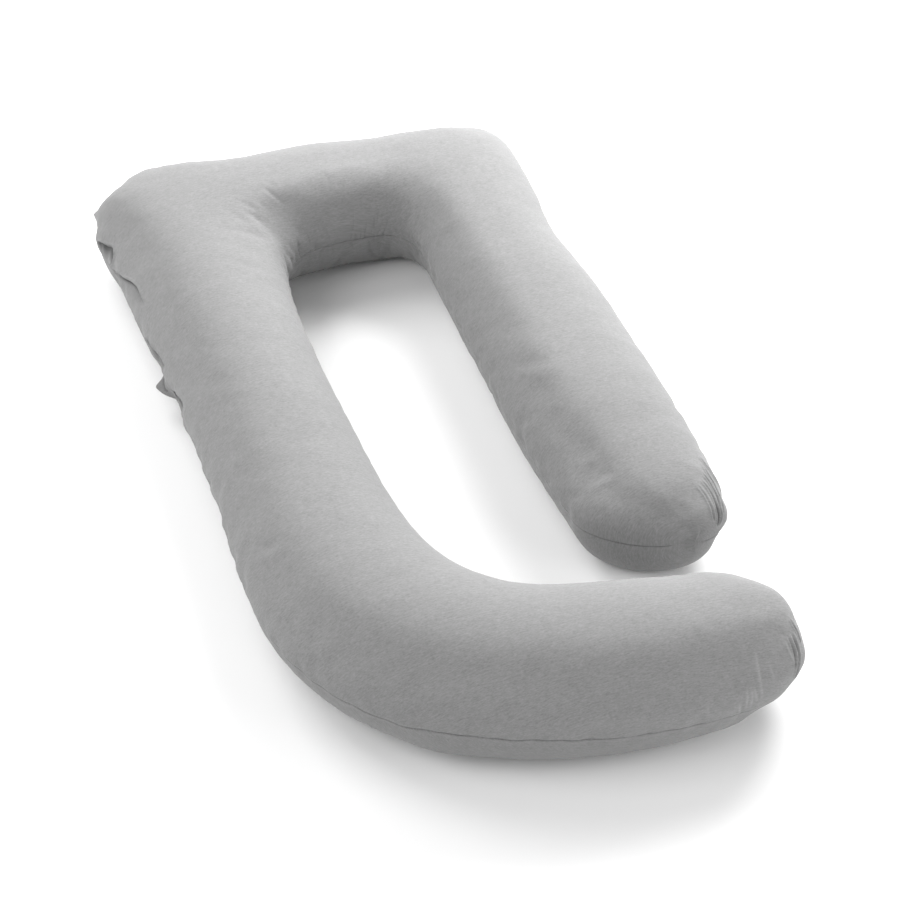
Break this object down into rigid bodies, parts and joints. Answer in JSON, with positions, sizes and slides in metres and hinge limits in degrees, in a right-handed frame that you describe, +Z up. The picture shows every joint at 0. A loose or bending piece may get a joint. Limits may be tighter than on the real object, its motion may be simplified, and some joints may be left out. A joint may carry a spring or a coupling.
{
  "type": "full body support pillow",
  "caption": "Full-length lopsided U-shaped body pillow: a filled jersey tube with a head bar, a short leg, and a long leg that sweeps round at the foot into a curl.",
  "frame": {"origin": "on the floor under the middle of the pillow's outline", "axes": "+Z up from the floor, +Y towards the head bar, +X across towards the short leg"},
  "size_m": [0.7898, 1.4442, 0.2011],
  "materials": {
    "grey_jersey": "soft heather grey jersey knit, matt"
  },
  "bodies": {
    "root": {"pillow": "grey_jersey"}
  },
  "joints": []
}
